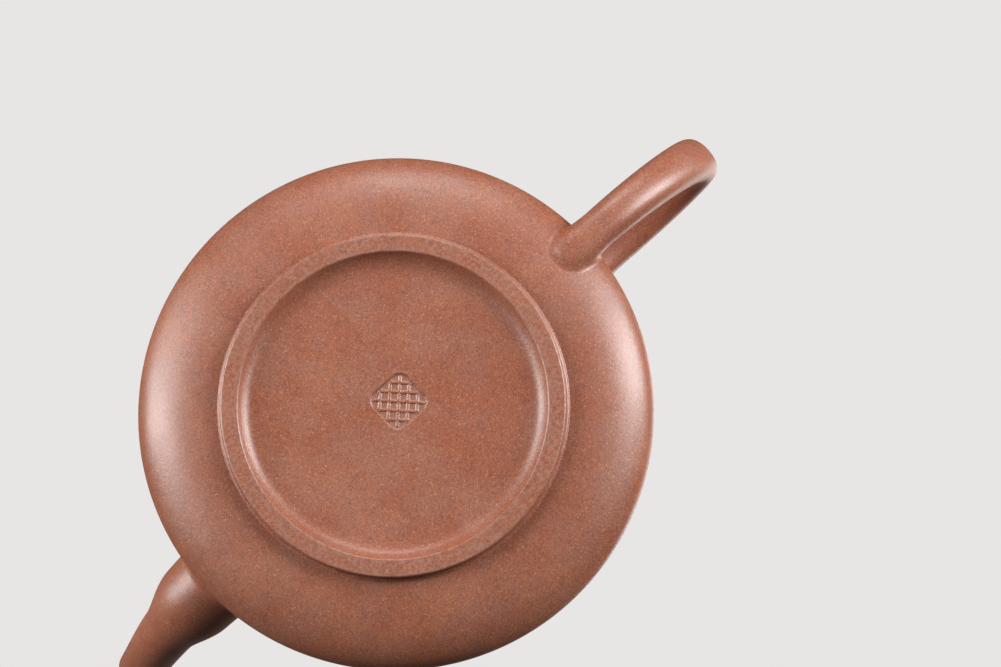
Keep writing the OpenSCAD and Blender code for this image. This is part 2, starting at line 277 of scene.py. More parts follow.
def dome_curve():
    """From the rim band up to the top of the lid."""
    rise = DOME_TOP - PLATE_TOP
    return [
        (LID_R, PLATE_TOP),
        (LID_R + DOME_SWELL, PLATE_TOP + DOME_FLANK * rise),
        (DOME_FLAT * LID_R, DOME_TOP),
        (0, DOME_TOP),
    ]


def along(curve, steps, offset=0, start=0, end=1):
    """Points along a curve, moved to its left by an offset."""
    t = np.linspace(start, end, steps + 1)
    d = bezier_slope(curve, t)
    return bezier(curve, t) + offset * np.stack([-d[:, 1], d[:, 0]], 1)


def moved(point, step):
    """A point moved by a step that is given in millimetres."""
    return point + np.array(step) * MM


def share_at(curve, height, halvings=40):
    """The share of a rising curve at which it reaches a height."""
    low, high = 0.0, 1.0
    for _ in range(halvings):
        middle = (low + high) / 2
        if bezier(curve, middle)[1] < height:
            low = middle
        else:
            high = middle
    return (low + high) / 2


# ---------- turned members ----------


def rounded(outline, radii, steps=6, support=0.12 * MM, longest=0.45):
    """A closed outline with its corners rounded; each arc has a support point on both sides."""
    made = []
    count = len(outline)
    for i, radius in enumerate(radii):
        here = Vector(outline[i])
        if not radius:
            made.append(tuple(here))
            continue
        back = Vector(outline[i - 1]) - here
        on = Vector(outline[(i + 1) % count]) - here
        turn = back.angle(on)
        reach = min(radius / math.tan(turn / 2), longest * back.length, longest * on.length)
        arc = reach * math.tan(turn / 2)
        back.normalize()
        on.normalize()
        middle = here + (back + on).normalized() * (arc / math.sin(turn / 2))
        made.append(tuple(here + back * (reach + support)))
        first = here + back * reach - middle
        last = here + on * reach - middle
        swing = first.angle_signed(last)
        for k in range(steps + 1):
            a = -swing * k / steps
            c, s = math.cos(a), math.sin(a)
            made.append((middle.x + c * first.x - s * first.y, middle.y + s * first.x + c * first.y))
        made.append(tuple(here + on * (reach + support)))
    return made


def revolve(outline, segments=TURN):
    """A closed mesh turned round Z from a closed outline of radius and height."""
    bm = bmesh.new()
    turns = [2 * math.pi * k / segments for k in range(segments)]
    rows = []
    for r, z in outline:
        spots = [(0, 0, z)]
        if r >= ON_AXIS:
            spots = [(r * math.cos(a), r * math.sin(a), z) for a in turns]
        rows.append([bm.verts.new(spot) for spot in spots])
    for row, after in zip(rows, rows[1:] + rows[:1]):
        for k in range(segments):
            n = (k + 1) % segments
            ring = [row[k % len(row)], row[n % len(row)], after[n % len(after)], after[k % len(after)]]
            face = list(dict.fromkeys(ring))
            if len(face) > 2:
                bm.faces.new(face)
    bmesh.ops.recalc_face_normals(bm, faces=bm.faces)
    return bm


# ---------- swept members ----------

# The least height above a skin that is looked for
CLEAR = 0.001 * MM


class Skin:
    """The outer outline of a turned member, for clay that is smoothed on to it."""

    def __init__(self, outline):
        self.a = np.asarray(outline[:-1], float)
        self.step = np.asarray(outline[1:], float) - self.a
        self.size = (self.step**2).sum(1)

    def gap(self, points):
        """Signed distance of each point, and the skin's outward normal there."""
        r = np.hypot(points[:, 0], points[:, 1])
        flat = np.stack([r, points[:, 2]], 1)[:, None, :]
        share = ((flat - self.a) * self.step).sum(2) / self.size
        near = self.a + np.clip(share, 0, 1)[..., None] * self.step
        apart = flat - near
        i = (apart**2).sum(2).argmin(1)
        rows = np.arange(len(points))
        step = self.step[i] / np.sqrt(self.size[i])[:, None]
        normal = np.stack([step[:, 1], -step[:, 0]], 1)
        signed = (apart[rows, i] * normal).sum(1)
        away = np.linalg.norm(apart[rows, i], axis=1)
        outward = points[:, :2] / np.maximum(r, ON_AXIS)[:, None] * normal[:, :1]
        return np.where(signed < 0, -away, away), np.column_stack([outward, normal[:, 1]])


class Sweep:
    """A member drawn along a path in the XZ plane, with an oval section that changes on the way."""

    def __init__(self, path, half_w, half_t, square=2.0, sides=64):
        """The path gives centres and headings at its shares, and the two others the half sizes there."""
        self.path = path
        self.half_w = half_w
        self.half_t = half_t
        a = 2 * np.pi * np.arange(sides) / sides
        power = 2 / square
        self.across = np.sign(np.cos(a)) * np.abs(np.cos(a)) ** power
        self.up = np.sign(np.sin(a)) * np.abs(np.sin(a)) ** power

    def points(self, t, grow=0.0):
        """One ring of points, each at its own share of the path."""
        centre, heading = self.path(t)
        side = self.across * (self.half_w(t) + grow)
        up = self.up * (self.half_t(t) + grow)
        return np.stack([centre[:, 0] - heading[:, 1] * up, side, centre[:, 1] + heading[:, 0] * up], 1)

    def reach(self, skin, height, inside, outside, halvings=34):
        """The share of the path at which each side of the member stands a height off a skin."""
        low = np.full(len(self.up), float(inside))
        high = np.full(len(self.up), float(outside))
        for _ in range(halvings):
            middle = (low + high) / 2
            short = skin.gap(self.points(middle))[0] < height
            low = np.where(short, middle, low)
            high = np.where(short, high, middle)
        return (low + high) / 2

    def lute(self, skin, radius, inside, outside, sink=0.4 * MM, steps=9, tries=3):
        """Rings that round the member off on to a skin, the first one sunk, and their last shares."""
        rings = []
        shares = None
        for k in range(steps + 1):
            a = 0.5 * math.pi * k / steps
            height = radius * (1 - math.cos(a))
            out = radius * (1 - math.sin(a))
            shares = self.reach(skin, max(height, CLEAR), inside, outside)
            base = self.points(shares)
            ring = base + out * unit_rows(self.points(shares, radius) - base)
            for _ in range(tries):
                gap, normal = skin.gap(ring)
                ring = ring + (height - gap)[:, None] * normal
            if k == 0:
                rings.append(ring - sink * skin.gap(ring)[1])
            rings.append(ring)
        return rings, shares


def unit_rows(v):
    """Each row of an array made one long."""
    return v / np.linalg.norm(v, axis=1, keepdims=True)


def loft(rings, closed=False, sharp=()):
    """A mesh through rings; open ends are capped, and the named rings keep a sharp edge."""
    bm = bmesh.new()
    rows = [[bm.verts.new(tuple(p)) for p in ring] for ring in rings]
    pairs = list(zip(rows, rows[1:]))
    if closed:
        pairs.append((rows[-1], rows[0]))
    for row, after in pairs:
        for k in range(len(row)):
            n = (k + 1) % len(row)
            bm.faces.new((row[k], row[n], after[n], after[k]))
    if not closed:
        for row in (rows[0], rows[-1]):
            middle = bm.verts.new(sum((v.co for v in row), Vector()) / len(row))
            for k in range(len(row)):
                bm.faces.new((row[k], row[(k + 1) % len(row)], middle))
    for i in sharp:
        row = rows[i]
        for k in range(len(row)):
            bm.edges.get((row[k], row[(k + 1) % len(row)])).smooth = False
    bmesh.ops.recalc_face_normals(bm, faces=bm.faces)
    return bm


def between(sweep, first, last, steps):
    """Rings that share out the path between two sets of shares, without the two ends."""
    return [sweep.points(mix(first, last, k / steps)) for k in range(1, steps)]


# ---------- finishing a piece ----------


def link_mesh(name, bm):
    """The object of a finished mesh, in the scene."""
    mesh = bpy.data.meshes.new(name)
    bm.to_mesh(mesh)
    bm.free()
    made = bpy.data.objects.new(name, mesh)
    bpy.context.scene.collection.objects.link(made)
    return made


def apply_modifiers(piece, crisp):
    """Makes the plain mesh of what the modifiers give; edges that turn more than a limit stay crisp."""
    graph = bpy.context.evaluated_depsgraph_get()
    made = bpy.data.meshes.new_from_object(piece.evaluated_get(graph))
    blank = piece.data
    piece.modifiers.clear()
    piece.data = made
    bpy.data.meshes.remove(blank)
    made.name = piece.name
    bm = bmesh.new()
    bm.from_mesh(made)
    bmesh.ops.remove_doubles(bm, verts=bm.verts, dist=WELD)
    bmesh.ops.dissolve_degenerate(bm, edges=bm.edges, dist=WELD)
    for edge in bm.edges:
        edge.smooth = not (len(edge.link_faces) == 2 and edge.calc_face_angle(0) > crisp)
    bm.to_mesh(made)
    bm.free()


def finish_piece(piece, material, body, nodes):
    """Smooths a piece, puts its material on and ties it to the frame."""
    piece.data.shade_smooth()
    piece.data.materials.clear()
    piece.data.materials.append(material)
    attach(piece, body)
    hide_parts(*nodes)


# ---------- materials ----------

WHITE = (1.0, 1.0, 1.0, 1.0)
BLACK = (0.0, 0.0, 0.0, 1.0)


class Nodes:
    """Adds and links the nodes of one tree."""

    def __init__(self, tree):
        self.tree = tree
        self.made = 0

    def add(self, kind, values=None, **settings):
        """A node with its settings; values go to its inputs, and a socket among them is linked."""
        node = self.tree.nodes.new(kind)
        node.location = (180 * (self.made % 12), -260 * (self.made // 12))
        self.made += 1
        for key, value in settings.items():
            setattr(node, key, value)
        for key, value in (values or {}).items():
            if isinstance(value, bpy.types.NodeSocket):
                self.tree.links.new(value, node.inputs[key])
            else:
                node.inputs[key].default_value = value
        return node

    def math(self, operation, a, b=0.0):
        """One sum on two values."""
        return self.add("ShaderNodeMath", {0: a, 1: b}, operation=operation).outputs[0]

    def ramp(self, value, low, high, out_low=0.0, out_high=1.0):
        """A value taken from one range to another, smoothly."""
        values = {"Value": value, "From Min": low, "From Max": high, "To Min": out_low, "To Max": out_high}
        return self.add("ShaderNodeMapRange", values, interpolation_type="SMOOTHSTEP").outputs["Result"]

    def noise(self, place, scale, detail, roughness=0.5):
        """A value from soft noise."""
        values = {"Vector": place, "Scale": scale, "Detail": detail, "Roughness": roughness}
        return self.add("ShaderNodeTexNoise", values).outputs["Fac"]

    def cells(self, place, scale):
        """The distance to the middle of the nearest cell, and the three random values of that cell."""
        cell = self.add("ShaderNodeTexVoronoi", {"Vector": place, "Scale": scale}).outputs
        return cell["Distance"], self.add("ShaderNodeSeparateColor", {"Color": cell["Color"]}).outputs

    def size(self, vector):
        """The length of a vector."""
        return self.add("ShaderNodeVectorMath", {0: vector}, operation="LENGTH").outputs["Value"]

    def turned(self, place):
        """The radius and the height of a place."""
        axes = self.add("ShaderNodeSeparateXYZ", {"Vector": place}).outputs
        flat = self.add("ShaderNodeCombineXYZ", {"X": axes["X"], "Y": axes["Y"]})
        return self.size(flat.outputs[0]), axes["Z"]

    def blend(self, share, a, b):
        """Two colours mixed."""
        node = self.add("ShaderNodeMix", data_type="RGBA")
        for socket, value in ((node.inputs[0], share), (node.inputs[6], a), (node.inputs[7], b)):
            if isinstance(value, bpy.types.NodeSocket):
                self.tree.links.new(value, socket)
            else:
                socket.default_value = value
        return node.outputs[2]


def shared_group(title, inputs):
    """The nodes and the inputs of a new shader node group; the kind of an input follows its value."""
    tree = bpy.data.node_groups.new(title, "ShaderNodeTree")
    kinds = {1: "NodeSocketFloat", 3: "NodeSocketVector", 4: "NodeSocketColor"}
    for name, value in {"Vector": (0.0, 0.0, 0.0), **inputs}.items():
        kind = kinds[np.size(value)]
        tree.interface.new_socket(name, in_out="INPUT", socket_type=kind).default_value = value
    nodes = Nodes(tree)
    return nodes, nodes.add("NodeGroupInput").outputs


def end_group(nodes, outputs):
    """Gives a shared group its named outputs."""
    for name, value in outputs.items():
        kind = "NodeSocketColor" if value.type == "RGBA" else "NodeSocketFloat"
        nodes.tree.interface.new_socket(name, in_out="OUTPUT", socket_type=kind)
    nodes.add("NodeGroupOutput", outputs)
    return nodes.tree


def clouds_group(title):
    """Slow clouds of warmer and darker clay."""
    nodes, given = shared_group(title, {"Clay": WHITE, "Warm": WHITE, "Dark": BLACK})
    cloud = nodes.noise(given["Vector"], scale=70.0, detail=4.0)
    warm = nodes.ramp(cloud, 0.48, 0.66)
    dark = nodes.ramp(nodes.noise(given["Vector"], scale=420.0, detail=5.0), 0.5, 0.72)
    tinted = nodes.blend(warm, given["Clay"], given["Warm"])
    shaded = nodes.blend(nodes.math("MULTIPLY", dark, 0.6), tinted, given["Dark"])
    return end_group(nodes, {"Color": shaded, "Cloud": cloud})


def grain_group(title):
    """Fine pale and dark grains, and a height for them."""
    nodes, given = shared_group(title, {"Color": WHITE, "Pale": WHITE, "Dark": BLACK})
    far, pick = nodes.cells(given["Vector"], scale=2300.0)
    _, fleck = nodes.cells(given["Vector"], scale=4300.0)
    pale = nodes.math("MULTIPLY", nodes.ramp(pick["Red"], 0.84, 1.0), nodes.ramp(far, 0.5, 0.2))
    soft = nodes.ramp(fleck["Red"], 0.55, 1.0)
    soot = nodes.ramp(fleck["Green"], 0.6, 1.0)
    tone = given["Color"]
    for mask, share, name in ((soft, 0.3, "Pale"), (soot, 0.55, "Dark"), (pale, 0.65, "Pale")):
        tone = nodes.blend(nodes.math("MULTIPLY", mask, share), tone, given[name])
    skin = nodes.noise(given["Vector"], scale=1500.0, detail=3.0)
    height = nodes.math("ADD", nodes.math("MULTIPLY", pale, 0.6), skin)
    return end_group(nodes, {"Color": tone, "Height": height})


def iron_group(title):
    """A few small iron specks, burnt out of the clay."""
    nodes, given = shared_group(title, {"Density": 130.0})
    far, pick = nodes.cells(given["Vector"], given["Density"])
    size = nodes.ramp(pick["Blue"], 0.7, 1.0, 0.0, 0.05)
    return end_group(nodes, {"Mask": nodes.math("LESS_THAN", far, size)})


def wear_and_highlight_group(title):
    """Pale, smoother clay along a turned edge, broken up by noise: rubbed clay and a painted edge
    highlight.
    """
    nodes, given = shared_group(title, {"Radius": 30 * MM, "Height": 0.0, "Width": 1 * MM})
    radius, height = nodes.turned(given["Vector"])
    out = nodes.math("SUBTRACT", radius, given["Radius"])
    up = nodes.math("SUBTRACT", height, given["Height"])
    gap = nodes.add("ShaderNodeCombineXYZ", {"X": out, "Y": up}).outputs[0]
    near = nodes.ramp(nodes.math("DIVIDE", nodes.size(gap), given["Width"]), 1.0, 0.2)
    spots = nodes.ramp(nodes.noise(given["Vector"], scale=500.0, detail=4.0), 0.35, 0.65)
    return end_group(nodes, {"Mask": nodes.math("MULTIPLY", near, spots)})


def patches_group(title):
    """Greyer, drier clay in soft patches, drawn out one way as a wet finger leaves it; on the skirt they
    paint its sheen.
    """
    nodes, given = shared_group(title, {"Scale": 160.0, "Soft": 0.1, "Stretch": (1.0, 1.0, 1.0)})
    values = {0: given["Vector"], 1: given["Stretch"]}
    drawn = nodes.add("ShaderNodeVectorMath", values, operation="MULTIPLY").outputs[0]
    cloud = nodes.noise(drawn, given["Scale"], detail=7.0, roughness=0.65)
    apart = nodes.math("DIVIDE", nodes.math("SUBTRACT", cloud, 0.53), given["Soft"])
    return end_group(nodes, {"Mask": nodes.ramp(apart, -1.0, 1.0)})


# What makes each shared effect
EFFECTS = {
    "Clay clouds": clouds_group,
    "Clay grain": grain_group,
    "Iron specks": iron_group,
    "Edge wear": wear_and_highlight_group,
    "Grey patches": patches_group,
}


class Clay:
    """One clay material: the fired skin, to which a piece adds its own zones and worn edges that carry a
    painted highlight.
    """

    def __init__(self, name):
        look = bpy.context.scene.clay
        self.worn_and_sheen = look.worn_and_sheen
        self.material = bpy.data.materials.new(name)
        self.material.use_nodes = True
        self.nodes = Nodes(self.material.node_tree)
        self.place = self.nodes.add("ShaderNodeTexCoord").outputs["Object"]
        self.radius, self.height = self.nodes.turned(self.place)
        clouds = self.effect("Clay clouds", {"Clay": look.clay, "Warm": look.warm, "Dark": look.dark})
        film = self.effect("Grey patches", {"Scale": 130.0, "Soft": 0.14})["Mask"]
        skin = self.nodes.blend(self.nodes.math("MULTIPLY", film, 0.5), clouds["Color"], look.film)
        self.grain = self.effect("Clay grain", {"Color": skin, "Pale": look.tan, "Dark": look.soot})
        self.tone = self.nodes.blend(self.effect("Iron specks")["Mask"], self.grain["Color"], look.iron)
        low = look.roughness - 0.04
        high = look.roughness + 0.05
        self.rough = self.nodes.ramp(clouds["Cloud"], 0.3, 0.7, low, high)

    def effect(self, title, values=None):
        """One shared effect with its values, made when it is first asked for."""
        tree = bpy.data.node_groups.get(title) or EFFECTS[title](title)
        values = {"Vector": self.place, **(values or {})}
        return self.nodes.add("ShaderNodeGroup", values, node_tree=tree).outputs

    def zone(self, mask, colour, share, rougher):
        """Tints a zone and makes it rougher, or smoother where the change is below zero."""
        self.tone = self.nodes.blend(self.nodes.math("MULTIPLY", mask, share), self.tone, colour)
        change = self.nodes.math("MULTIPLY", mask, rougher)
        self.rough = self.nodes.math("ADD", self.rough, change)

    def both(self, a, b):
        """Where two masks meet."""
        return self.nodes.math("MULTIPLY", a, b)

    def worn_edge_with_highlight(self, radius, height, width=1.2 * MM):
        """Paints a pale band along a turned edge: rubbed clay and a painted edge highlight."""
        mask = self.effect("Edge wear", {"Radius": radius, "Height": height, "Width": width})["Mask"]
        self.zone(mask, self.worn_and_sheen, share=0.45, rougher=-0.08)

    def done(self):
        """Joins it all to the shader."""
        fine = {"Height": self.grain["Height"], "Strength": 0.5, "Distance": 0.06 * MM}
        slow = {
            "Height": self.nodes.noise(self.place, scale=60.0, detail=2.0),
            "Strength": 0.4,
            "Distance": 0.5 * MM,
            "Normal": self.nodes.add("ShaderNodeBump", fine).outputs[0],
        }
        shader = self.material.node_tree.nodes["Principled BSDF"]
        shader.inputs["IOR"].default_value = bpy.context.scene.clay.ior
        link = self.material.node_tree.links.new
        link(self.tone, shader.inputs["Base Color"])
        link(self.rough, shader.inputs["Roughness"])
        link(self.nodes.add("ShaderNodeBump", slow).outputs[0], shader.inputs["Normal"])
        return self.material


def plain_clay():
    """The clay that most pieces share, made once: the fired skin with a rubbed mouth whose pale edges also
    paint a highlight.
    """
    title = "Fired clay"
    if title in bpy.data.materials:
        return bpy.data.materials[title]
    made = Clay(title)
    # Pale bands along the mouth's edges: rubbed clay and a painted edge highlight
    for radius in (COLLAR_R, bpy.context.scene.pot.mouth_r):
        made.worn_edge_with_highlight(radius, MOUTH_H)
    return made.done()


def sealed_clay():
    """The base, whose impression is pressed smooth, with a greyer, paler tint on its floor that paints its
    sheen.
    """
    made = Clay("Sealed base clay")
    # Painted sheen: the impression's floor is tinted paler, and made smoother
    deep = made.nodes.ramp(made.height, FOOT_H + 0.1 * MM, FOOT_H + 0.3 * MM)
    shallow = made.nodes.ramp(made.height, FOOT_H + 0.8 * MM, FOOT_H + 0.6 * MM)
    made.zone(made.both(deep, shallow), made.worn_and_sheen, share=0.45, rougher=-0.05)
    return made.done()


def ground_clay():
    """The foot ring, ground flat: greyed patches on the ground face, rubbed edges with a painted
    highlight.
    """
    made = Clay("Ground clay")
    face = made.nodes.ramp(made.height, 0.5 * MM, 0.1 * MM)
    patches = made.effect("Grey patches", {"Scale": 1100.0, "Soft": 0.07})["Mask"]
    made.zone(made.both(face, patches), made.worn_and_sheen, share=0.6, rougher=-0.04)
    # Pale bands along the ground face's edges: rubbed clay and a painted edge highlight
    for radius in (FOOT_R, FOOT_R - bpy.context.scene.pot.foot_w):
        made.worn_edge_with_highlight(radius, 0, width=0.8 * MM)
    return made.done()


def lid_clay():
    """The lid's top, whose rim band is greyer and drier than its dome."""
    made = Clay("Lid clay")
    low = made.nodes.ramp(made.height, PLATE_TOP + 0.05 * MM, PLATE_TOP - 0.1 * MM)
    rim = made.nodes.ramp(made.radius, LID_R - 1.2 * MM, LID_R - 0.7 * MM)
    band = made.both(low, rim)
    patches = made.effect("Grey patches", {"Scale": 90.0, "Stretch": (1, 1, 6)})["Mask"]
    made.zone(band, made.worn_and_sheen, share=0.35, rougher=0.08)
    made.zone(made.both(band, patches), made.worn_and_sheen, share=0.5, rougher=0.06)
    # Pale bands along the rim band's edges: rubbed clay and a painted edge highlight
    made.worn_edge_with_highlight(LID_R, PLATE_TOP + 0.3 * MM)
    made.worn_edge_with_highlight(LID_R - bpy.context.scene.lid.taper, MOUTH_H, width=0.8 * MM)
    return made.done()


def skirt_clay():
    """The skirt, mottled grey and purple in upright streaks that paint its sheen, with a rubbed lower edge
    that carries a painted highlight.
    """
    made = Clay("Skirt clay")
    # Painted sheen: grey-purple patches drawn out up and down the skirt
    patches = made.effect("Grey patches", {"Scale": 110.0, "Stretch": (1, 1, 0.6)})["Mask"]
    made.zone(patches, bpy.context.scene.clay.skirt_sheen, share=0.55, rougher=0.04)
    made.worn_edge_with_highlight(SKIRT_R - bpy.context.scene.lid.skirt_taper, SKIRT_LOW, width=1 * MM)
    return made.done()


# ---------- the pot ----------

# The impression's flank runs between these distances from its outline, outside and inside
FLANK_OUT = 0.1 * MM
FLANK_IN = -0.25 * MM
# The clay that the seal pushes up round itself: height as a share of the depth, place and half width
BURR_RISE = 0.15
BURR_OFF = 0.3 * MM
BURR_REACH = 0.35 * MM
# The lattice: its height as a share of the depth, and the distances inside which it comes up
LATTICE_RISE = 0.8
LATTICE_NONE = -0.3 * MM
LATTICE_FULL = -0.6 * MM
# Distances from the middle of a lattice line, as shares of its width, where its flank starts and ends
LINE_FOOT = 0.75
LINE_TOP = 0.25


def seal_depth(x, y):
    """Depth of the impression at places in the base: a soft-edged square with a raised lattice."""
    seal = bpy.context.scene.seal
    x = x + seal.off
    half = seal.side / 2 - seal.corner
    far = np.maximum(np.abs(x), np.abs(y)) - half
    edge = np.hypot(np.maximum(np.abs(x) - half, 0), np.maximum(np.abs(y) - half, 0)) + np.minimum(far, 0)
    edge = edge - seal.corner
    floor = ease(FLANK_OUT, FLANK_IN, edge)
    burr = BURR_RISE * np.maximum(0, 1 - np.abs(edge - BURR_OFF) / BURR_REACH)
    lines = 0
    for u in ((x + y) / math.sqrt(2), (x - y) / math.sqrt(2)):
        off = np.abs(u - seal.pitch * np.round(u / seal.pitch))
        lines = np.maximum(lines, ease(LINE_FOOT * seal.line, LINE_TOP * seal.line, off))
    inner = ease(LATTICE_NONE, LATTICE_FULL, edge)
    return seal.depth * (floor * (1 - LATTICE_RISE * lines * inner) - burr)


# The middle of the base is cut into close rings, which take the impression, and the rest into wide ones
CLOSE_R = 8 * MM
CLOSE_RINGS = 72
WIDE_RINGS = 12


def build_base_floor():
    """The round plate under the pot, with the impression in the middle."""
    close = [CLOSE_R * k / CLOSE_RINGS for k in range(CLOSE_RINGS + 1)]
    wide = [CLOSE_R + (FOOT_R - CLOSE_R) * k / WIDE_RINGS for k in range(1, WIDE_RINGS + 1)]
    bm = revolve([(r, FOOT_H) for r in close + wide] + [(FOOT_R, FLOOR_TOP), (0, FLOOR_TOP)])
    pressed = [v for v in bm.verts if v.co.z < (FOOT_H + FLOOR_TOP) / 2 and v.co.xy.length < CLOSE_R]
    places = np.array([v.co.xy for v in pressed])
    for vert, depth in zip(pressed, seal_depth(places[:, 0], places[:, 1])):
        vert.co.z += depth
    finish_piece(link_mesh("base_floor", bm), sealed_clay(), "pot", ["base_plate"])


# How far the foot ring is let into the base: its smoothed clay, and its back, inside and outside
LET_IN = 0.01 * MM
BACK_IN = 0.5 * MM
BACK_OUT = 0.4 * MM
# The cove inside the foot ring: the share of its width at which it dips, and how deep it is there
COVE_SHARE = 0.6
COVE_SINK = 0.05 * MM
# The inner lip: how far its bend lies back and down, and its lower end as shares of its width and height
LIP_BACK = 0.1 * MM
LIP_DROP = 0.35 * MM
LIP_SHARE = 0.55
LIP_HEIGHT = 0.42
# The ground face: how far its inner edge leans in, and the radius of its edges
GROUND_LEAN = 0.15 * MM
GROUND_EDGE = 0.42 * MM
# How far below its joint the outside of the ring ends
BELOW_JOINT = 0.1 * MM


def build_foot_ring():
    """The low ring on which the pot stands, luted to the underside on both sides."""
    pot = bpy.context.scene.pot
    lute = pot.foot_lute
    ground_in = FOOT_R - pot.foot_w
    lip_in = ground_in - pot.foot_lip
    cove_in = lip_in - pot.foot_cove
    fillet = [
        (FOOT_R + lute * (1 - math.sin(a)), FOOT_H - lute * (1 - math.cos(a)) + LET_IN)
        for a in np.linspace(math.pi / 2, 0, num=8)
    ]
    cove = bezier(
        [
            (cove_in, FOOT_H + LET_IN),
            (mix(cove_in, lip_in, COVE_SHARE), FOOT_H - COVE_SINK),
            (lip_in - LIP_BACK, FOOT_H - LIP_DROP),
            (mix(lip_in, ground_in, LIP_SHARE), LIP_HEIGHT * FOOT_H),
        ],
        np.linspace(0, 1, num=17),
    )
    ground = rounded(
        [
            tuple(cove[-1]),
            (ground_in - GROUND_LEAN, 0),
            (FOOT_R, 0),
            (FOOT_R, FOOT_H - lute - BELOW_JOINT),
        ],
        [0, GROUND_EDGE, GROUND_EDGE, 0],
    )
    inside = [(cove_in, FOOT_H + BACK_IN)] + [tuple(p) for p in cove[:-1]]
    bm = revolve(inside + ground + fillet + [(FOOT_R + lute, FOOT_H + BACK_OUT)])
    finish_piece(link_mesh("foot_ring_ground", bm), ground_clay(), "pot", ["foot_ring"])


def body_outline():
    """Outside of the body from the foot to the mouth."""
    lower = along(lower_curve(), steps=40)
    upper = along(upper_curve(), steps=60, start=1 / 60)[:-1]
    return [tuple(p) for p in lower] + [tuple(p) for p in upper]


# Radii of the corner between plate and collar, and of the mouth's lower inner edge
COLLAR_FOOT = 0.4 * MM
MOUTH_UNDER = 0.8 * MM
# How far outside the mouth the underside of the top plate starts
UNDER_START = 1.2 * MM


def build_body_shell():
    """Wall, top plate and collar as one smoothed skin, with the hole behind the spout."""
    pot = bpy.context.scene.pot
    outside = body_outline()
    under_h = SHOULDER_H - pot.wall_t
    top = rounded(
        [
            outside[-1],
            (COLLAR_R, SHOULDER_H),
            (COLLAR_R, MOUTH_H),
            (pot.mouth_r, MOUTH_H),
            (pot.mouth_r, under_h),
        ],
        [0, COLLAR_FOOT, pot.edge, pot.edge, MOUTH_UNDER],
    )
    inner = along(upper_curve(), steps=40, offset=pot.wall_t)
    under = [tuple(p) for p in inner if p[0] > pot.mouth_r + UNDER_START and p[1] < under_h]
    low = [tuple(p) for p in along(lower_curve(), steps=24, offset=pot.wall_t)][1:-1]
    back = under[::-1] + low[::-1] + [(FOOT_R, FLOOR_TOP)]
    shell = link_mesh("body_shell", revolve(outside[:-1] + top[:-2] + back))
    drill = wall_drill()
    cut = shell.modifiers.new("wall hole", "BOOLEAN")
    cut.operation = "DIFFERENCE"
    cut.solver = "EXACT"
    cut.object = drill
    apply_modifiers(shell, crisp=math.radians(50))
    bpy.data.objects.remove(drill)
    finish_piece(shell, plain_clay(), "pot", ["body_wall", "top_plate", "mouth_collar"])


def spout_frame():
    """The spout's root on the inside of the wall, and the wall's own direction there."""
    spout = bpy.context.scene.spout
    share = share_at(upper_curve(), spout.root_h)
    wall_t = bpy.context.scene.pot.wall_t
    root = along(upper_curve(), steps=1, offset=wall_t, start=share, end=share)[0]
    return root, bezier_slope(upper_curve(), share)


def spout_place():
    """The matrix that puts a piece at the spout's root, its Z axis square to the wall and inwards."""
    root, slope = spout_frame()
    turn = Matrix.Rotation(math.atan2(-slope[1], slope[0]), 4, "Y")
    return Matrix.Translation((root[0], 0, root[1])) @ turn


def wall_drill():
    """The cutter for the hole through the wall."""
    radius = bpy.context.scene.spout.wall_hole_d / 2
    bm = bmesh.new()
    bmesh.ops.create_cone(
        bm,
        cap_ends=True,
        segments=64,
        radius1=radius,
        radius2=radius,
        depth=16 * MM,
        matrix=spout_place(),
    )
    return link_mesh("wall_drill", bm)


# Control points of the spout's path, in millimetres: from its root inside the wall, and from its mouth
SPOUT_START = (-0.8, 0)
SPOUT_RISE = (17.2, 2.7)
SPOUT_NECK = (-9, -15)
# Shares of the path at which the bulb ends and the neck starts
BULB_END = 0.22
NECK_START = 0.5
# How far below the wall's skin the bore starts
BORE_DEPTH = 0.4 * MM
# The last stretch of the path, from this share on, gives the length that a share has at the mouth
LAST_STRETCH = 0.97
# Points round the spout, the strainer and the handle
ROUND = 72


def build_spout():
    """The short curved spout: a luted root, a round lip and the bore."""
    spout = bpy.context.scene.spout
    root, _ = spout_frame()
    tip = np.array([spout.reach, spout.tip_h])
    curve = [moved(root, SPOUT_START), moved(root, SPOUT_RISE), moved(tip, SPOUT_NECK), tip]

    def path(t):
        return bezier(curve, t), bezier_slope(curve, t)

    def outer(t):
        bulb = mix(spout.root_r, spout.bulb_r, t / BULB_END)
        neck = mix(spout.neck_r, spout.tip_r, (t - NECK_START) / (1 - NECK_START))
        return mix(bulb, neck, ease(BULB_END, NECK_START, t))

    def bore(t):
        return outer(t) - mix(spout.root_t, spout.lip_t, t)

    skin = Skin(body_outline())
    sweep = Sweep(path, outer, outer, sides=ROUND)
    inner = Sweep(path, bore, bore, sides=ROUND)
    rings, first = sweep.lute(skin, spout.lute, inside=0.0, outside=0.6)
    lip = spout.lip_t / 2
    end = np.ones(ROUND)
    run = np.linalg.norm(tip - bezier(curve, LAST_STRETCH)) / (1 - LAST_STRETCH)
    back = lip / run
    rings += between(sweep, first, end - back, steps=60)
    for a in np.linspace(0, math.pi, num=13):
        rings.append(sweep.points(end - back * (1 - math.sin(a)), -lip * (1 - math.cos(a))))
    start = inner.reach(skin, -BORE_DEPTH, inside=0.0, outside=0.6)
    rings += between(inner, end - back, start, steps=48)
    rings.append(inner.points(start))
    bm = loft(rings, closed=True, sharp=[1])
    finish_piece(link_mesh("spout_tube", bm), plain_clay(), "pot", ["spout"])


# Control points of the handle's path, in millimetres: each arm from its root, and both from the bend
LOW_START = (-10.2, 2)
LOW_ARM = (7.3, -7.5)
HIGH_START = (4.3, -1.5)
HIGH_ARM = (30.7, 10.5)
BEND_DOWN = (0, -13)
BEND_UP = (0, 15)
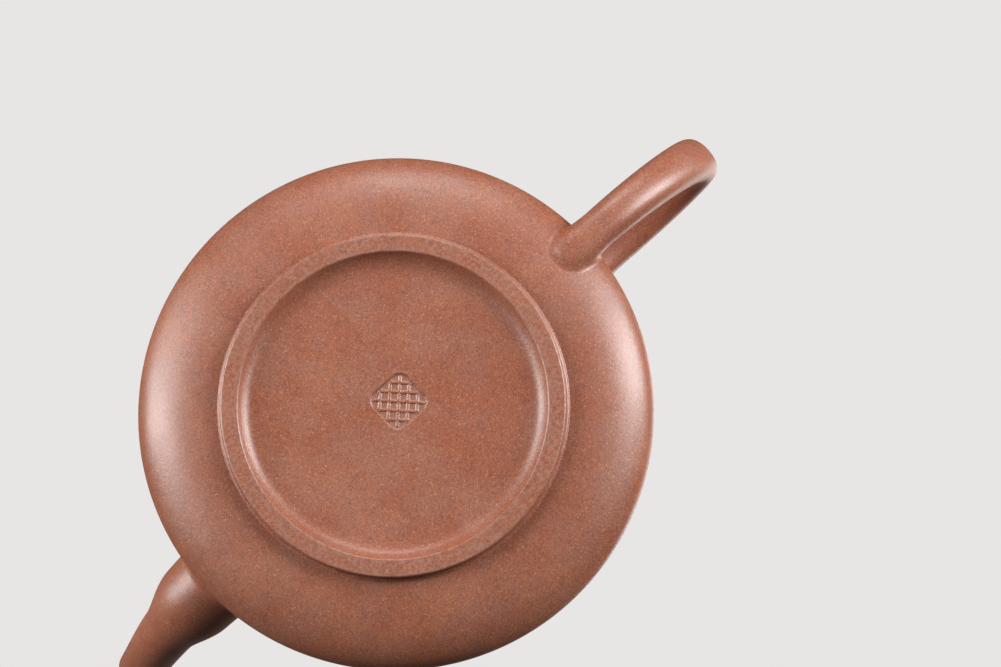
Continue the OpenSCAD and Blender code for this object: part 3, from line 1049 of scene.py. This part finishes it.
# The swelling at the roots, as shares of the path: where it starts on each arm and how far it runs
SWELL_LOW = 0.1
SWELL_HIGH = 0.2
SWELL_RUN = 0.16
# The share of the upper root's swelling that goes into its thickness
SWELL_FLAT = 0.4
# How square the handle's section is, where 2 is an ellipse
HANDLE_SQUARE = 2.35


def build_handle():
    """The loop handle: a soft squared oval whose two roots are smoothed on to the body."""
    hand = bpy.context.scene.hand
    bend = np.array([HANDLE_OUT - hand.thick / 2, hand.mid_h])
    low = np.array([BODY_R, hand.low_h])
    high = np.array([COLLAR_R, hand.high_h])
    lower = [moved(low, LOW_START), moved(low, LOW_ARM), moved(bend, BEND_DOWN), bend]
    upper = [moved(high, HIGH_START), moved(high, HIGH_ARM), moved(bend, BEND_UP), bend]
    flip = np.array([-1, 1])

    def path(s):
        first = s <= 1
        t = np.where(first, s, 2 - s)
        centre = np.where(first[:, None], bezier(lower, t), bezier(upper, t))
        heading = np.where(first[:, None], bezier_slope(lower, t), -bezier_slope(upper, t))
        return centre * flip, heading * flip

    def swell(s):
        t = np.where(s <= 1, s - SWELL_LOW, 2 - s - SWELL_HIGH)
        return hand.flare * np.maximum(0, 1 - np.maximum(0, t) / SWELL_RUN) ** 2

    def half_w(s):
        low_arm = mix(hand.low_w, hand.mid_w, s)
        high_arm = mix(hand.high_w, hand.mid_w, (2 - s) ** 2) - 4 * hand.waist * (2 - s) * (s - 1)
        return np.where(s <= 1, low_arm, high_arm) / 2 + swell(s)

    def half_t(s):
        return hand.thick / 2 + swell(s) * np.where(s <= 1, 1, SWELL_FLAT)

    skin = Skin(body_outline())
    sweep = Sweep(path, half_w, half_t, HANDLE_SQUARE, ROUND)
    near, first = sweep.lute(skin, hand.low_lute, inside=0.0, outside=0.7)
    far, last = sweep.lute(skin, hand.high_lute, inside=2.0, outside=1.3)
    rings = near + between(sweep, first, last, steps=150) + far[::-1]
    bm = loft(rings, sharp=[1, len(rings) - 2])
    finish_piece(link_mesh("handle_loop", bm), plain_clay(), "pot", ["handle"])


STRAINER_INPUTS = (
    ("Radius", "strainer_r"),
    ("Hole diameter", "strainer_hole_d"),
    ("Wall", "strainer_t"),
    ("Step", "strainer_step"),
)
# Rings of holes, the first of which is the one in the middle, and how many more holes each has
HOLE_RINGS = 3
MORE_HOLES = 6
# Sides of each drill, and its length in walls
DRILL_SIDES = 24
DRILL_WALLS = 3.0
# How far the dome runs round, in degrees, and how many steps it has
DOME_ARC = 98
DOME_STEPS = 28


def strainer_tree(material):
    """Geometry nodes that pierce a dome with rings of holes and set it on the wall."""
    tree = bpy.data.node_groups.new("Pierced strainer", "GeometryNodeTree")
    sockets = [("Geometry", "Geometry"), ("Place", "Vector"), ("Turn", "Rotation")]
    sockets += [(title, "Float") for title, _ in STRAINER_INPUTS]
    for title, kind in sockets:
        tree.interface.new_socket(title, in_out="INPUT", socket_type="NodeSocket" + kind)
    tree.interface.new_socket("Geometry", in_out="OUTPUT", socket_type="NodeSocketGeometry")
    nodes = Nodes(tree)
    given = nodes.add("NodeGroupInput").outputs
    spots = nodes.add("GeometryNodeJoinGeometry")
    for rank in range(HOLE_RINGS):
        angle = nodes.math("MULTIPLY", given["Step"], float(rank))
        wide = nodes.math("MULTIPLY", given["Radius"], nodes.math("SINE", angle))
        high = nodes.math("MULTIPLY", given["Radius"], nodes.math("COSINE", angle))
        lift = nodes.add("ShaderNodeCombineXYZ", {"Z": high}).outputs[0]
        if rank == 0:
            ring = nodes.add("GeometryNodeMeshLine", {"Count": 1})
        else:
            ring = nodes.add("GeometryNodeMeshCircle", {"Vertices": MORE_HOLES * rank, "Radius": wide})
        values = {"Geometry": ring.outputs["Mesh"], "Translation": lift}
        tree.links.new(nodes.add("GeometryNodeTransform", values).outputs[0], spots.inputs[0])
    hole = {
        "Vertices": DRILL_SIDES,
        "Radius": nodes.math("MULTIPLY", given["Hole diameter"], 0.5),
        "Depth": nodes.math("MULTIPLY", given["Wall"], DRILL_WALLS),
    }
    drill = nodes.add("GeometryNodeMeshCylinder", hole)
    away = nodes.add("GeometryNodeInputPosition").outputs[0]
    aim = nodes.add("FunctionNodeAlignRotationToVector", {"Vector": away}, axis="Z")
    drills = nodes.add(
        "GeometryNodeInstanceOnPoints",
        {"Points": spots.outputs[0], "Instance": drill.outputs["Mesh"], "Rotation": aim.outputs[0]},
    )
    solid = nodes.add("GeometryNodeRealizeInstances", {0: drills.outputs[0]}).outputs[0]
    both = {"Mesh 1": given["Geometry"], "Mesh 2": solid}
    cut = nodes.add("GeometryNodeMeshBoolean", both, operation="DIFFERENCE", solver="EXACT")
    placed = nodes.add(
        "GeometryNodeTransform",
        {"Geometry": cut.outputs["Mesh"], "Translation": given["Place"], "Rotation": given["Turn"]},
    )
    real = nodes.add("GeometryNodeRealizeInstances", {0: placed.outputs[0]})
    coat = nodes.add("GeometryNodeSetMaterial", {"Geometry": real.outputs[0], "Material": material})
    nodes.add("NodeGroupOutput", {0: coat.outputs[0]})
    return tree


def build_strainer():
    """The domed strainer behind the spout."""
    spout = bpy.context.scene.spout
    outer = spout.strainer_r
    inner = outer - spout.strainer_t
    arc = [math.radians(DOME_ARC) * k / DOME_STEPS for k in range(DOME_STEPS + 1)]
    outline = [(outer * math.sin(a), outer * math.cos(a)) for a in arc]
    outline += [(inner * math.sin(a), inner * math.cos(a)) for a in arc[::-1]]
    dome = link_mesh("strainer_dome", revolve(outline, ROUND))
    rule = dome.modifiers.new("strainer", "NODES")
    rule.node_group = strainer_tree(plain_clay())
    place = spout_place()
    values = {title: getattr(spout, key) for title, key in STRAINER_INPUTS}
    values["Place"] = tuple(place.translation)
    values["Turn"] = tuple(place.to_euler())
    for socket in rule.node_group.interface.items_tree:
        if socket.in_out == "INPUT" and socket.name in values:
            rule[socket.identifier] = values[socket.name]
    dome.data.update()
    apply_modifiers(dome, crisp=math.radians(40))
    finish_piece(dome, plain_clay(), "pot", ["strainer"])


# ---------- the lid ----------

# Radius of the rim band's lower edge, as a share of the usual one
BAND_LOW = 0.7
# The rim band's upper corner: how far it leans in, how low its bend starts, and its radius
BAND_LEAN = 0.03 * MM
BAND_DROP = 0.2 * MM
BAND_EDGE = 0.12 * MM
# The line between band and dome: the share of its depth and the height above the band at each point
GROOVE = ((0.45, -0.09 * MM), (1, 0), (0.35, 0.1 * MM))
# The air hole: how far out the dome bends into it, the radius of its edges and the plate's flat round it
VENT_BEND = 0.35 * MM
VENT_EDGE = 0.3 * MM
VENT_FLAT = 3 * MM


def lid_outline():
    """Outside of the dome from above the rim band to the air hole."""
    hole = bpy.context.scene.lid.vent_d / 2
    dome = along(dome_curve(), steps=64, start=0.03)
    return [tuple(p) for p in dome if p[0] > hole + VENT_BEND]


def build_lid_top():
    """Dome, rim band and underside of the lid, with the line between dome and band and the air hole."""
    lid = bpy.context.scene.lid
    hole = lid.vent_d / 2
    band = rounded(
        [
            (0, MOUTH_H),
            (LID_R - lid.taper, MOUTH_H),
            (LID_R - BAND_LEAN, PLATE_TOP - BAND_DROP),
            (LID_R, PLATE_TOP),
        ],
        [0, BAND_LOW * bpy.context.scene.pot.edge, BAND_EDGE, 0],
    )[1:-1]
    groove = [(LID_R - share * lid.groove, PLATE_TOP + height) for share, height in GROOVE]
    dome = lid_outline()
    vent = rounded(
        [dome[-1], (hole, DOME_TOP), (hole, MOUTH_H), (hole + VENT_FLAT, MOUTH_H)],
        [0, VENT_EDGE, VENT_EDGE, 0],
    )[1:-1]
    bm = revolve(band + groove + dome + vent)
    finish_piece(link_mesh("lid_top", bm), lid_clay(), "lid", ["lid_plate", "lid_cap"])


# How far the skirt runs up into the lid, and the radii of its lower edges, inside and outside
SKIRT_LET_IN = 0.3 * MM
SKIRT_EDGE_IN = 1.0 * MM
SKIRT_EDGE_OUT = 0.9 * MM


def build_lid_skirt():
    """The skirt that keeps the lid on the mouth."""
    lid = bpy.context.scene.lid
    inner = SKIRT_R - lid.skirt_t
    outline = rounded(
        [
            (inner, MOUTH_H + SKIRT_LET_IN),
            (inner, SKIRT_LOW),
            (SKIRT_R - lid.skirt_taper, SKIRT_LOW),
            (SKIRT_R, MOUTH_H),
            (SKIRT_R, MOUTH_H + SKIRT_LET_IN),
        ],
        [0, SKIRT_EDGE_IN, SKIRT_EDGE_OUT, 0, 0],
    )
    skirt = link_mesh("lid_skirt_wall", revolve(outline))
    finish_piece(skirt, skirt_clay(), "lid", ["lid_skirt"])


# The bridge's path: how far its crown stays level, as a share of the way to its feet, and, in
# millimetres from each foot, its end inside the dome and the control point above it
CROWN_LEVEL = 0.39
FOOT_END = (1.4, -3)
FOOT_ARM = (1.4 - 4.8, 8.8 - 3)
# How square the bridge's section is, where 2 is an ellipse
KNOB_SQUARE = 2.3


def build_knob():
    """The bridge knob, whose feet are smoothed on to the dome."""
    lid = bpy.context.scene.lid
    crown = KNOB_TOP - lid.knob_t / 2
    foot = (lid.knob_l + lid.knob_gap) / 4
    leg_t = (lid.knob_l - lid.knob_gap) / 2
    ground = np.array([foot, DOME_TOP])
    half = [(0, crown), (CROWN_LEVEL * foot, crown), moved(ground, FOOT_ARM), moved(ground, FOOT_END)]

    def path(s):
        side = np.where(s < 0, -1.0, 1.0)
        centre = bezier(half, np.abs(s))
        heading = bezier_slope(half, np.abs(s))
        return (
            np.stack([centre[:, 0] * side, centre[:, 1]], 1),
            np.stack([heading[:, 0], heading[:, 1] * side], 1),
        )

    def half_w(s):
        return mix(lid.knob_w, lid.knob_leg_w, s * s) / 2

    def half_t(s):
        return mix(lid.knob_t, leg_t, s**4) / 2

    skin = Skin([(LID_R, PLATE_TOP)] + lid_outline() + [(0, DOME_TOP)])
    sweep = Sweep(path, half_w, half_t, KNOB_SQUARE)
    left, first = sweep.lute(skin, lid.lute, inside=-1.0, outside=-0.3)
    right, last = sweep.lute(skin, lid.lute, inside=1.0, outside=0.3)
    rings = left + between(sweep, first, last, steps=80) + right[::-1]
    bm = loft(rings, sharp=[1, len(rings) - 2])
    finish_piece(link_mesh("knob_bridge", bm), plain_clay(), "lid", ["knob"])


# ---------- the stage ----------

# Radius of the floor, and the distances from the middle between which it runs over into the background
FLOOR_R = 3.0
FADE_START = 0.22
FADE_END = 0.9


def floor_material():
    """A pale floor that the camera sees from above, and that lets everything through from below."""
    look = bpy.context.scene.stage
    material = bpy.data.materials.new("Pale floor")
    material.use_nodes = True
    tree = material.node_tree
    nodes = Nodes(tree)
    shader = tree.nodes["Principled BSDF"]
    shader.inputs["Base Color"].default_value = look.floor
    shader.inputs["Roughness"].default_value = 0.8
    shader.inputs["Specular IOR Level"].default_value = 0.2
    rays = nodes.add("ShaderNodeLightPath").outputs
    under = nodes.add("ShaderNodeNewGeometry").outputs["Backfacing"]
    clear = nodes.math("MAXIMUM", nodes.math("SUBTRACT", 1.0, rays["Is Camera Ray"]), under)
    glass = nodes.add("ShaderNodeBsdfTransparent")
    where = nodes.add("ShaderNodeTexCoord").outputs["Object"]
    backdrop = nodes.add("ShaderNodeEmission", {"Color": look.back, "Strength": 1.0})
    faded = nodes.ramp(nodes.size(where), FADE_START, FADE_END, look.glow, 1.0)
    seen = nodes.add("ShaderNodeMixShader", {0: faded, 1: shader.outputs[0], 2: backdrop.outputs[0]})
    both = nodes.add("ShaderNodeMixShader", {0: clear, 1: seen.outputs[0], 2: glass.outputs[0]})
    tree.links.new(both.outputs[0], tree.nodes["Material Output"].inputs["Surface"])
    return material


def build_floor():
    """The floor, a large round sheet that faces up."""
    bm = bmesh.new()
    bmesh.ops.create_circle(bm, cap_ends=True, segments=96, radius=FLOOR_R)
    floor = link_mesh("floor", bm)
    floor.data.materials.append(floor_material())


def build_world():
    """A pale background, with a weaker even light on the pot."""
    look = bpy.context.scene.stage
    world = bpy.data.worlds.new("Studio")
    bpy.context.scene.world = world
    world.use_nodes = True
    nodes = Nodes(world.node_tree)
    ground = world.node_tree.nodes["Background"]
    rays = nodes.add("ShaderNodeLightPath").outputs
    sheen = nodes.math("MULTIPLY", rays["Is Glossy Ray"], look.mirrored)
    seen = nodes.math("MAXIMUM", rays["Is Camera Ray"], rays["Is Transmission Ray"])
    seen = nodes.math("MAXIMUM", seen, sheen)
    strength = nodes.ramp(seen, 0.0, 1.0, look.ambient, 1.0)
    ground.inputs["Color"].default_value = look.back
    world.node_tree.links.new(strength, ground.inputs["Strength"])


# Where the camera stands, how it is turned in degrees, and its lens and sensor in millimetres
CAMERA_PLACE = (0.03452, -0.10137, -0.69176)
CAMERA_TURN = (-170.732, -1.656, -138.286)
LENS = 125.12
SENSOR = 36
# What the lamps are aimed at
AIM = (0, 0, 20 * MM)
# Name, place, size and power of each lamp. The low ones are placed right, up and towards the camera
# from there, and the high ones as the object is.
LOW_LAMPS = (
    ("lamp_left", (-0.62, 0.16, 0.3), (0.32, 0.5), 5.2),
    ("lamp_right", (0.6, 0.28, 0.3), (0.32, 0.5), 6.2),
    ("lamp_top", (0.0, 0.6, 0.26), (0.3, 0.15), 1.3),
)
HIGH_LAMPS = (
    ("lamp_over", (0.0, 0.0, 1.3), (1.8, 1.8), 21.0),
    ("lamp_key", (-0.6, -0.5, 1.1), (0.8, 0.8), 5.5),
)


def add_lamp(name, place, size, power):
    """One soft rectangular lamp aimed at the pot."""
    data = bpy.data.lights.new(name, "AREA")
    data.shape = "RECTANGLE"
    data.size, data.size_y = size
    data.energy = power * bpy.context.scene.stage.level
    lamp = bpy.data.objects.new(name, data)
    lamp.location = place
    lamp.rotation_euler = (Vector(AIM) - Vector(place)).to_track_quat("-Z", "Y").to_euler()
    lamp.visible_camera = False
    # The even light from overhead stays out of the sheen
    lamp.visible_glossy = name != "lamp_over"
    bpy.context.scene.collection.objects.link(lamp)


def build_camera():
    """The camera that looks up at the base."""
    data = bpy.data.cameras.new("camera")
    data.lens = LENS
    data.sensor_width = SENSOR
    data.clip_start = 0.01
    camera = bpy.data.objects.new("camera", data)
    camera.location = CAMERA_PLACE
    camera.rotation_euler = Euler([math.radians(a) for a in CAMERA_TURN])
    bpy.context.scene.collection.objects.link(camera)
    bpy.context.scene.camera = camera
    return camera.rotation_euler.to_matrix()


def build_stage():
    """Floor, background, camera and lamps."""
    build_floor()
    build_world()
    view = build_camera()
    for name, place, size, power in LOW_LAMPS:
        add_lamp(name, Vector(AIM) + view @ Vector(place), size, power)
    for name, place, size, power in HIGH_LAMPS:
        add_lamp(name, place, size, power)
    bpy.context.scene.view_settings.view_transform = "Standard"


# ---------- the add-on ----------


class TEAPOT_OT_base_floor(bpy.types.Operator):
    """Build the base plate with its impression"""

    bl_idname = "teapot.base_floor"
    bl_label = "Base plate"

    def execute(self, context):
        build_base_floor()
        return {"FINISHED"}


class TEAPOT_OT_foot_ring(bpy.types.Operator):
    """Build the foot ring"""

    bl_idname = "teapot.foot_ring"
    bl_label = "Foot ring"

    def execute(self, context):
        build_foot_ring()
        return {"FINISHED"}


class TEAPOT_OT_body_shell(bpy.types.Operator):
    """Build wall, top plate and mouth collar"""

    bl_idname = "teapot.body_shell"
    bl_label = "Body"

    def execute(self, context):
        build_body_shell()
        return {"FINISHED"}


class TEAPOT_OT_spout(bpy.types.Operator):
    """Build the spout"""

    bl_idname = "teapot.spout"
    bl_label = "Spout"

    def execute(self, context):
        build_spout()
        return {"FINISHED"}


class TEAPOT_OT_strainer(bpy.types.Operator):
    """Build the pierced strainer"""

    bl_idname = "teapot.strainer"
    bl_label = "Strainer"

    def execute(self, context):
        build_strainer()
        return {"FINISHED"}


class TEAPOT_OT_handle(bpy.types.Operator):
    """Build the loop handle"""

    bl_idname = "teapot.handle"
    bl_label = "Handle"

    def execute(self, context):
        build_handle()
        return {"FINISHED"}


class TEAPOT_OT_lid(bpy.types.Operator):
    """Build the lid's top and skirt"""

    bl_idname = "teapot.lid"
    bl_label = "Lid"

    def execute(self, context):
        build_lid_top()
        build_lid_skirt()
        return {"FINISHED"}


class TEAPOT_OT_knob(bpy.types.Operator):
    """Build the bridge knob"""

    bl_idname = "teapot.knob"
    bl_label = "Knob"

    def execute(self, context):
        build_knob()
        return {"FINISHED"}


class TEAPOT_OT_stage(bpy.types.Operator):
    """Set up floor, background, camera and lamps"""

    bl_idname = "teapot.stage"
    bl_label = "Stage"

    def execute(self, context):
        build_stage()
        return {"FINISHED"}


OPERATORS = (
    TEAPOT_OT_base_floor,
    TEAPOT_OT_foot_ring,
    TEAPOT_OT_body_shell,
    TEAPOT_OT_spout,
    TEAPOT_OT_strainer,
    TEAPOT_OT_handle,
    TEAPOT_OT_lid,
    TEAPOT_OT_knob,
    TEAPOT_OT_stage,
)

GROUPS = {
    "pot": PotSizes,
    "seal": SealSizes,
    "spout": SpoutSizes,
    "hand": HandleSizes,
    "lid": LidSizes,
    "clay": ClayLook,
    "stage": StageLook,
}


class TEAPOT_PT_panel(bpy.types.Panel):
    """The teapot's pieces and sizes"""

    bl_idname = "TEAPOT_PT_panel"
    bl_label = "Clay teapot"
    bl_space_type = "VIEW_3D"
    bl_region_type = "UI"
    bl_category = "Teapot"

    def draw(self, context):
        for operator in OPERATORS:
            self.layout.operator(operator.bl_idname)
        for name, group in GROUPS.items():
            box = self.layout.box()
            box.label(text=group.__doc__)
            for key in group.__annotations__:
                box.prop(getattr(context.scene, name), key)


def register():
    for group in GROUPS.values():
        bpy.utils.register_class(group)
    for name, group in GROUPS.items():
        setattr(bpy.types.Scene, name, bpy.props.PointerProperty(type=group))
    for operator in OPERATORS:
        bpy.utils.register_class(operator)
    bpy.utils.register_class(TEAPOT_PT_panel)


def unregister():
    bpy.utils.unregister_class(TEAPOT_PT_panel)
    for operator in reversed(OPERATORS):
        bpy.utils.unregister_class(operator)
    for name, group in GROUPS.items():
        delattr(bpy.types.Scene, name)
        bpy.utils.unregister_class(group)


def main():
    register()
    bpy.ops.teapot.stage()
    bpy.ops.teapot.base_floor()
    bpy.ops.teapot.foot_ring()
    bpy.ops.teapot.body_shell()
    bpy.ops.teapot.spout()
    bpy.ops.teapot.strainer()
    bpy.ops.teapot.handle()
    bpy.ops.teapot.lid()
    bpy.ops.teapot.knob()


if __name__ == "__main__":
    main()
